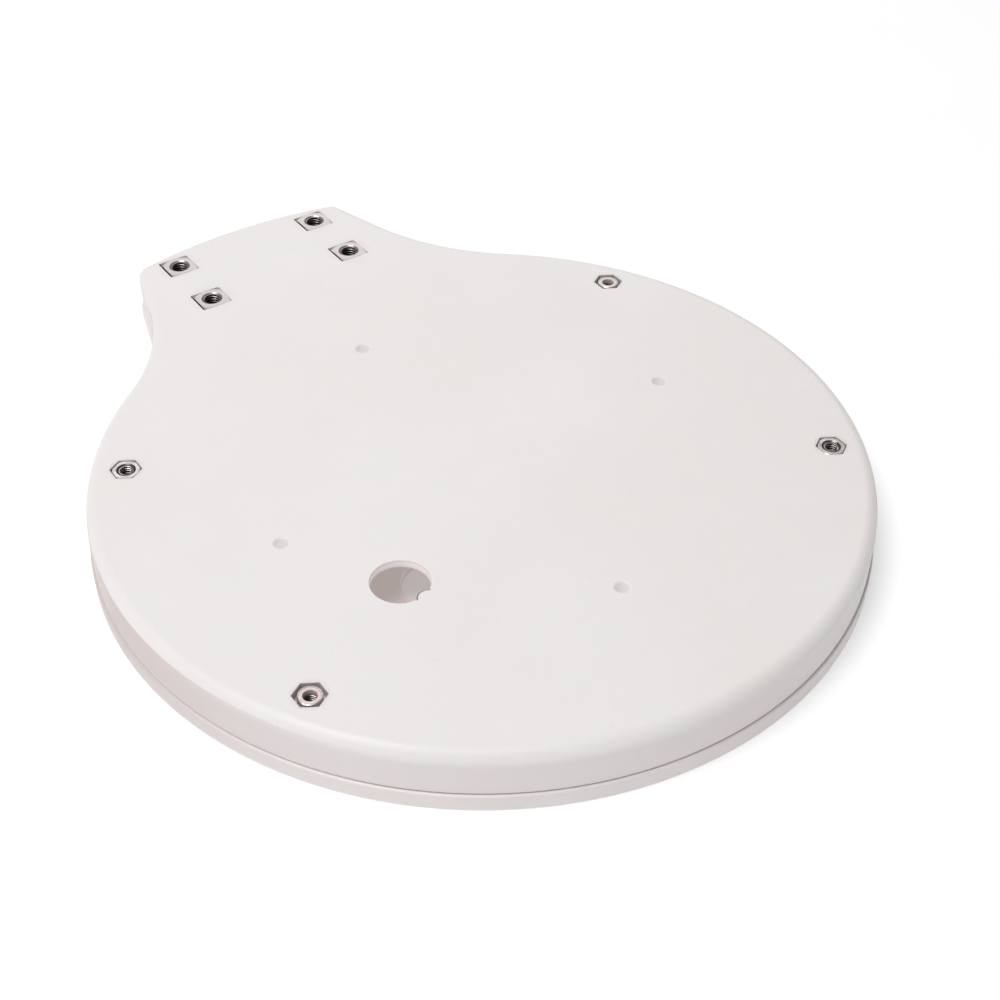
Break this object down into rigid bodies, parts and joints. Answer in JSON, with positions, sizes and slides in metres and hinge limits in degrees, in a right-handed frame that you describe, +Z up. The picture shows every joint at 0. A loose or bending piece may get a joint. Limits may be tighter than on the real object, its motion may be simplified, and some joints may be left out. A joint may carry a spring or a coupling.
{
  "type": "radar dome mounting base",
  "caption": "Flat hollow two-shell mounting base for a marine radar dome: round disc with a short tongue, captive lock nuts, captive square nuts and a cable way.",
  "frame": {"origin": "centre of the round disc on the flat underside, which is also the centre of the lock nuts' bolt pattern", "axes": "+Z up out of the top face, +Y towards the tongue, +X to the right seen from above with the tongue away"},
  "size_m": [0.3034, 0.3584, 0.0254],
  "materials": {
    "shell_white": "satin moulded white, faintly warm",
    "shell_white_lower": "satin moulded white, faintly warm",
    "seal_rubber": "dark grey foam rubber cord",
    "stainless_plate": "brushed",
    "nut_steel": "bright stainless",
    "nylon": "natural nylon",
    "sleeve_alloy": "turned",
    "screw_steel": "bright stainless"
  },
  "bodies": {
    "root": {"upper_shell": "shell_white", "lower_shell": "shell_white_lower", "seam_seal": "seal_rubber", "tongue_plate": "stainless_plate", "lock_nut_rear_right": "nut_steel", "lock_nut_rear_left": "nut_steel", "lock_nut_front_left": "nut_steel", "lock_nut_front_right": "nut_steel", "nylon_ring_rear_right": "nylon", "nylon_ring_rear_left": "nylon", "nylon_ring_front_left": "nylon", "nylon_ring_front_right": "nylon", "bolt_sleeve_rear_right": "sleeve_alloy", "bolt_sleeve_rear_left": "sleeve_alloy", "bolt_sleeve_front_left": "sleeve_alloy", "bolt_sleeve_front_right": "sleeve_alloy", "square_nut_outer_right": "nut_steel", "square_nut_outer_left": "nut_steel", "square_nut_inner_left": "nut_steel", "square_nut_inner_right": "nut_steel", "tongue_sleeve_outer_right": "sleeve_alloy", "tongue_sleeve_outer_left": "sleeve_alloy", "tongue_sleeve_inner_left": "sleeve_alloy", "tongue_sleeve_inner_right": "sleeve_alloy", "shell_screw_1": "screw_steel", "shell_screw_2": "screw_steel", "shell_screw_3": "screw_steel", "shell_screw_4": "screw_steel", "shell_screw_5": "screw_steel", "shell_screw_6": "screw_steel", "shell_screw_7": "screw_steel", "shell_screw_8": "screw_steel", "shell_screw_9": "screw_steel", "shell_screw_10": "screw_steel", "shell_screw_11": "screw_steel", "shell_screw_12": "screw_steel"}
  },
  "joints": []
}
